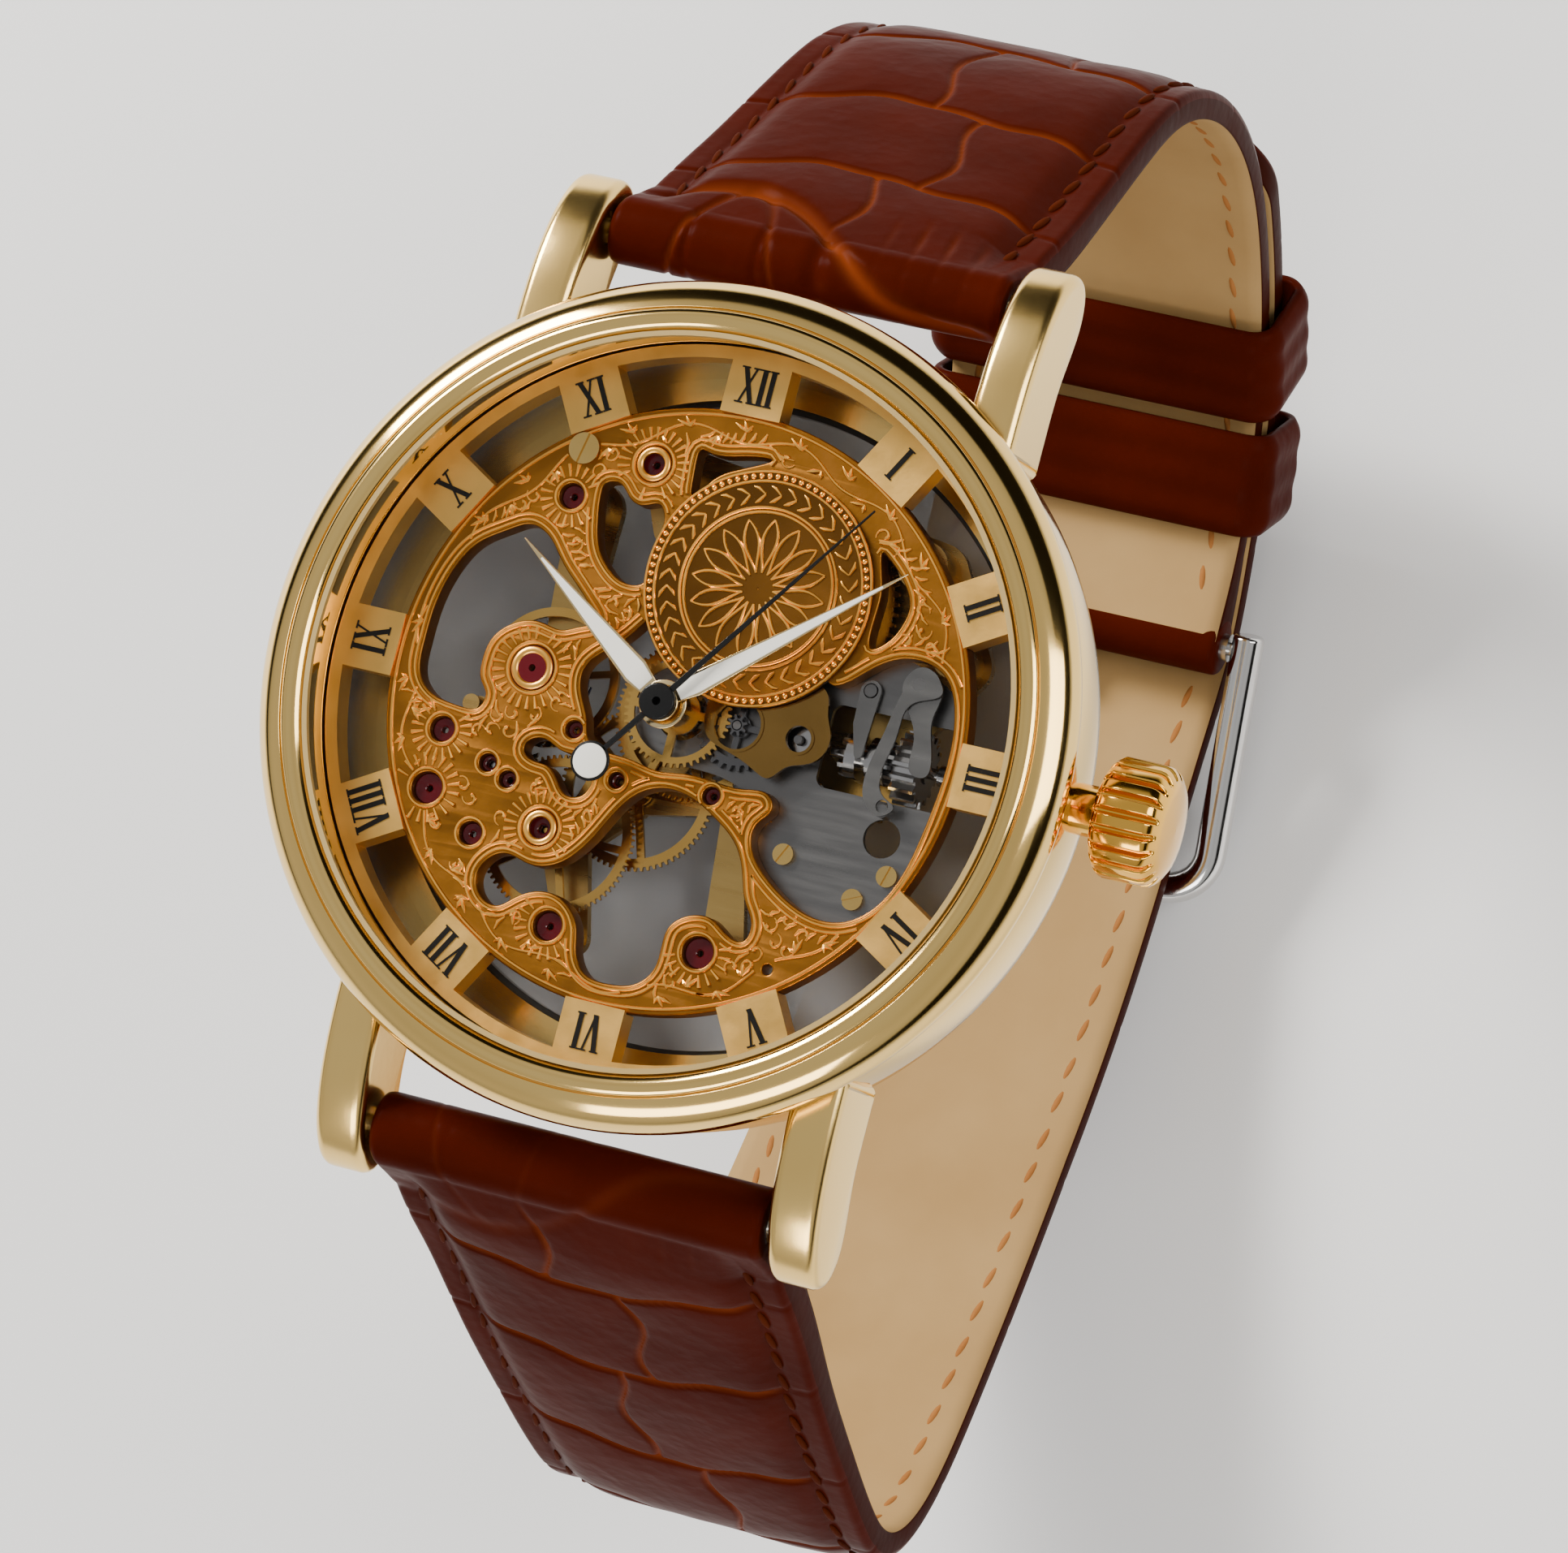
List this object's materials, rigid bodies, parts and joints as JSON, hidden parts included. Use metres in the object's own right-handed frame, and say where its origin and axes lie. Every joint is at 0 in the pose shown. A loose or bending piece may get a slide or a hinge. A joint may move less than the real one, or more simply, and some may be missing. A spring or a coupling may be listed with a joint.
{
  "type": "skeleton wristwatch",
  "caption": "Round openworked wristwatch with a visible hand-wound movement, Roman hour ring and a leather strap buckled into a loop.",
  "frame": {"origin": "centre of the flat outer face of the case back", "axes": "+Z out of the dial towards the viewer, +Y towards 12 o'clock, +X along the winding stem towards the crown at 3 o'clock; the strap loop hangs below the case in -Z"},
  "size_m": [0.0442, 0.0778, 0.0665],
  "materials": {
    "gold": "polished",
    "gold_engraved": "engraved satin",
    "steel": "satin",
    "steel_polished": "polished",
    "gilt_wheel": "polished",
    "crystal": "clear",
    "smoked_glass": "smoked",
    "ruby": "polished",
    "black_print": "printed",
    "hand_white": "cream filled, gilt edge",
    "gasket": "soft",
    "blued_spring": "blued",
    "brown_leather": "glossy embossed, cream lining"
  },
  "bodies": {
    "case": {"case_middle": "gold", "bezel": "gold", "crystal": "crystal", "crystal_gasket": "gasket", "case_back": "gold", "case_back_glass": "smoked_glass", "case_back_gasket": "gasket", "crown_tube": "gold", "front_plate": "gold_engraved", "chapter_ring": "gold_engraved", "hour_numerals": "black_print", "medallion": "gold_engraved", "movement_ring": "steel", "keyless_plate": "steel", "motion_bridge": "gilt_wheel", "setting_lever_spring": "steel_polished", "hairspring": "blued_spring", "pallet_bridge": "gold_engraved", "balance_cock": "gold_engraved", "train_bridge": "gold_engraved", "barrel_bridge": "gold_engraved", "click_spring": "steel_polished", "jewel_bearings": "ruby", "movement_screws": "steel_polished", "strap_upper": "brown_leather", "strap_lower": "brown_leather", "spring_bars": "steel", "buckle_frame": "steel_polished", "keeper_fixed": "brown_leather"},
    "minute_train": {"centre_wheel": "gilt_wheel", "cannon_pinion": "steel_polished", "minute_hand": "hand_white"},
    "hour_train": {"hour_wheel": "gilt_wheel", "hour_hand": "hand_white"},
    "seconds_train": {"seconds_pinion": "steel_polished", "seconds_hand": "hand_white"},
    "third_body": {"third_wheel": "gilt_wheel"},
    "fourth_body": {"fourth_wheel": "gilt_wheel"},
    "escape_body": {"escape_wheel": "steel_polished"},
    "pallet_body": {"pallet_fork": "steel_polished"},
    "balance_body": {"balance_wheel": "gilt_wheel"},
    "barrel": {"barrel_drum": "gilt_wheel", "barrel_cover": "gilt_wheel", "mainspring": "steel_polished"},
    "ratchet": {"barrel_arbor": "steel_polished", "ratchet_wheel": "gilt_wheel", "ratchet_screw": "steel_polished"},
    "crown_wheel_body": {"crown_wheel": "gilt_wheel"},
    "click_body": {"click": "steel_polished"},
    "motion_body": {"minute_wheel": "gilt_wheel"},
    "setting_wheel_body": {"setting_wheel": "steel_polished"},
    "winding_rotor": {"winding_pinion": "steel_polished"},
    "stem_and_crown": {"winding_stem": "steel", "crown": "gold", "crown_gasket": "gasket"},
    "clutch_body": {"sliding_clutch": "steel_polished"},
    "setting_lever_body": {"setting_lever": "steel_polished"},
    "yoke_body": {"yoke": "steel_polished"},
    "tongue_body": {"buckle_tongue": "steel_polished"},
    "free_keeper": {"keeper_free": "brown_leather"}
  },
  "joints": [
    {"name": "seconds_spin", "type": "hinge", "parent": "case", "child": "seconds_train", "pos_m": [0, 0, 0.004], "axis": [0, 0, 1], "continuous": true},
    {"name": "minute_spin", "type": "hinge", "parent": "case", "child": "minute_train", "pos_m": [0, 0, 0.004], "axis": [0, 0, 1], "continuous": true},
    {"name": "hour_spin", "type": "hinge", "parent": "case", "child": "hour_train", "pos_m": [0, 0, 0.004], "axis": [0, 0, 1], "continuous": true},
    {"name": "third_spin", "type": "hinge", "parent": "case", "child": "third_body", "pos_m": [-0.00193, -0.00382, 0.004], "axis": [0, 0, 1], "continuous": true},
    {"name": "fourth_spin", "type": "hinge", "parent": "case", "child": "fourth_body", "pos_m": [-0.005, -0.0068, 0.004], "axis": [0, 0, 1], "continuous": true},
    {"name": "escape_spin", "type": "hinge", "parent": "case", "child": "escape_body", "pos_m": [-0.00835, -0.0044, 0.004], "axis": [0, 0, 1], "continuous": true},
    {"name": "barrel_spin", "type": "hinge", "parent": "case", "child": "barrel", "pos_m": [0.00255, 0.00635, 0.004], "axis": [0, 0, 1], "continuous": true},
    {"name": "motion_spin", "type": "hinge", "parent": "case", "child": "motion_body", "pos_m": [0.003, 0, 0.004], "axis": [0, 0, 1], "continuous": true},
    {"name": "setting_spin", "type": "hinge", "parent": "case", "child": "setting_wheel_body", "pos_m": [0.00607, 0, 0.004], "axis": [0, 0, 1], "continuous": true},
    {"name": "crown_turn", "type": "hinge", "parent": "case", "child": "winding_rotor", "pos_m": [0.011, 0, 0.0039], "axis": [1, 0, 0], "continuous": true},
    {"name": "crown_pull", "type": "slide", "parent": "winding_rotor", "child": "stem_and_crown", "axis": [1, 0, 0], "range_m": [0, 0.0008]},
    {"name": "clutch_shift", "type": "slide", "parent": "winding_rotor", "child": "clutch_body", "axis": [1, 0, 0], "range_m": [-0.0006, 0]},
    {"name": "ratchet_spin", "type": "hinge", "parent": "case", "child": "ratchet", "pos_m": [0.00255, 0.00635, 0.004], "axis": [0, 0, 1], "continuous": true},
    {"name": "crown_wheel_spin", "type": "hinge", "parent": "case", "child": "crown_wheel_body", "pos_m": [0.0086, 0.0004, 0.004], "axis": [0, 0, 1], "continuous": true},
    {"name": "click_swing", "type": "hinge", "parent": "case", "child": "click_body", "pos_m": [-0.00375, 0.0086, 0.0019], "axis": [0, 0, 1], "range_deg": [0, 8], "stiffness_Nm_per_rad": 0.0002},
    {"name": "setting_lever_swing", "type": "hinge", "parent": "case", "child": "setting_lever_body", "pos_m": [0.0112, 0.0037, 0.0058], "axis": [0, 0, 1], "range_deg": [-0.2, 13.2]},
    {"name": "yoke_swing", "type": "hinge", "parent": "case", "child": "yoke_body", "pos_m": [0.0088, 0.003, 0.0053], "axis": [0, 0, 1], "range_deg": [-11, 0.2]},
    {"name": "balance_swing", "type": "hinge", "parent": "case", "child": "balance_body", "pos_m": [-0.0074, 0.0004, 0.004], "axis": [0, 0, 1], "range_deg": [-270, 270], "stiffness_Nm_per_rad": 0.00000005},
    {"name": "pallet_swing", "type": "hinge", "parent": "case", "child": "pallet_body", "pos_m": [-0.00789, -0.00209, 0.004], "axis": [0, 0, 1], "range_deg": [-5, 5]},
    {"name": "tongue_lift", "type": "hinge", "parent": "case", "child": "tongue_body", "pos_m": [0, 0.0145, -0.0502], "axis": [1, 0, 0], "range_deg": [0, 2]},
    {"name": "keeper_slip", "type": "slide", "parent": "case", "child": "free_keeper", "axis": [0, 0.7193, 0.6947], "range_m": [-0.0004, 0.0004]}
  ],
  "couplings": [
    {"joint": "minute_spin", "follows": "seconds_spin", "ratio": 0.016667},
    {"joint": "hour_spin", "follows": "seconds_spin", "ratio": 0.0013889},
    {"joint": "third_spin", "follows": "seconds_spin", "ratio": -0.13333},
    {"joint": "fourth_spin", "follows": "seconds_spin", "ratio": 1},
    {"joint": "escape_spin", "follows": "seconds_spin", "ratio": -10},
    {"joint": "barrel_spin", "follows": "seconds_spin", "ratio": -0.0026316},
    {"joint": "motion_spin", "follows": "seconds_spin", "ratio": -0.0083333},
    {"joint": "setting_spin", "follows": "seconds_spin", "ratio": 0.015556},
    {"joint": "crown_wheel_spin", "follows": "crown_turn", "ratio": 0.56667},
    {"joint": "ratchet_spin", "follows": "crown_turn", "ratio": -0.31481},
    {"joint": "clutch_shift", "follows": "crown_pull", "ratio": -0.7},
    {"joint": "setting_lever_swing", "follows": "crown_pull", "rad_per_m": 283},
    {"joint": "yoke_swing", "follows": "crown_pull", "rad_per_m": -233.3}
  ]
}
